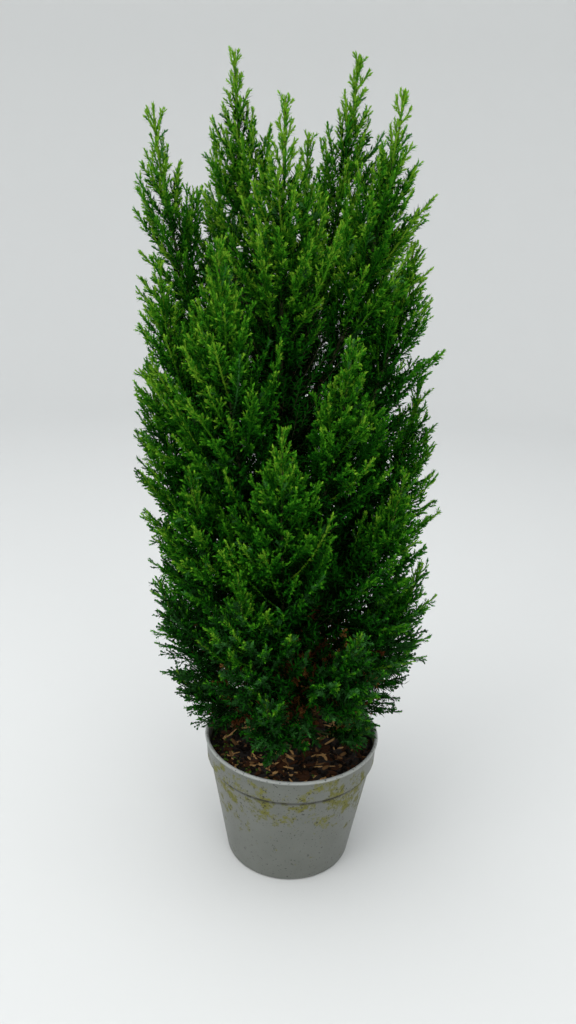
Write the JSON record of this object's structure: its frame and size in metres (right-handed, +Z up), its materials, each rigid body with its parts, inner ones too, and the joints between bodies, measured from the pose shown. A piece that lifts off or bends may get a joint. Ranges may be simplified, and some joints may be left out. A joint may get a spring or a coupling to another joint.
{
  "type": "potted lawson cypress",
  "caption": "Upright bushy conifer with feathery ascending plumes of foliage on one trunk, growing in a round tapering plastic nursery pot filled with potting mix.",
  "frame": {"origin": "centre of the flat underside of the pot", "axes": "+Z up, +X to the right and +Y away as the plant is seen in the picture"},
  "size_m": [0.2437, 0.225, 0.6465],
  "materials": {
    "pot_plastic": "satin",
    "potting_mix": "matte",
    "bark": "matte",
    "foliage_top": "matte",
    "foliage_body": "matte",
    "foliage_skirt": "matte"
  },
  "bodies": {
    "root": {"pot": "pot_plastic", "soil": "potting_mix", "trunk": "bark", "bough_spire_left": "bark", "bough_spire_front": "bark", "bough_spire_right": "bark", "bough_spire_far_right": "bark", "bough_spire_back_left": "bark", "bough_spire_back": "bark", "bough_spire_back_right": "bark", "bough_shoulder_1": "bark", "bough_shoulder_2": "bark", "bough_shoulder_3": "bark", "bough_shoulder_4": "bark", "bough_shoulder_5": "bark", "bough_shoulder_6": "bark", "bough_shoulder_7": "bark", "foliage_leader": "foliage_top", "foliage_spire_left": "foliage_top", "foliage_spire_front": "foliage_top", "foliage_spire_right": "foliage_top", "foliage_spire_far_right": "foliage_top", "foliage_spire_back_left": "foliage_top", "foliage_spire_back": "foliage_top", "foliage_spire_back_right": "foliage_top", "foliage_shoulder_1": "foliage_body", "foliage_shoulder_2": "foliage_body", "foliage_shoulder_3": "foliage_body", "foliage_shoulder_4": "foliage_body", "foliage_shoulder_5": "foliage_body", "foliage_shoulder_6": "foliage_body", "foliage_shoulder_7": "foliage_body", "foliage_flank_1": "foliage_body", "foliage_flank_2": "foliage_body", "foliage_flank_3": "foliage_body", "foliage_flank_4": "foliage_body", "foliage_flank_5": "foliage_body", "foliage_flank_6": "foliage_body", "foliage_flank_7": "foliage_body", "foliage_flank_8": "foliage_body", "foliage_waist_1": "foliage_body", "foliage_waist_2": "foliage_body", "foliage_waist_3": "foliage_body", "foliage_waist_4": "foliage_body", "foliage_waist_5": "foliage_body", "foliage_waist_6": "foliage_body", "foliage_waist_7": "foliage_body", "foliage_waist_8": "foliage_body", "foliage_skirt_1": "foliage_skirt", "foliage_skirt_2": "foliage_skirt", "foliage_skirt_3": "foliage_skirt", "foliage_skirt_4": "foliage_skirt", "foliage_skirt_5": "foliage_skirt", "foliage_skirt_6": "foliage_skirt", "foliage_skirt_7": "foliage_skirt"}
  },
  "joints": []
}
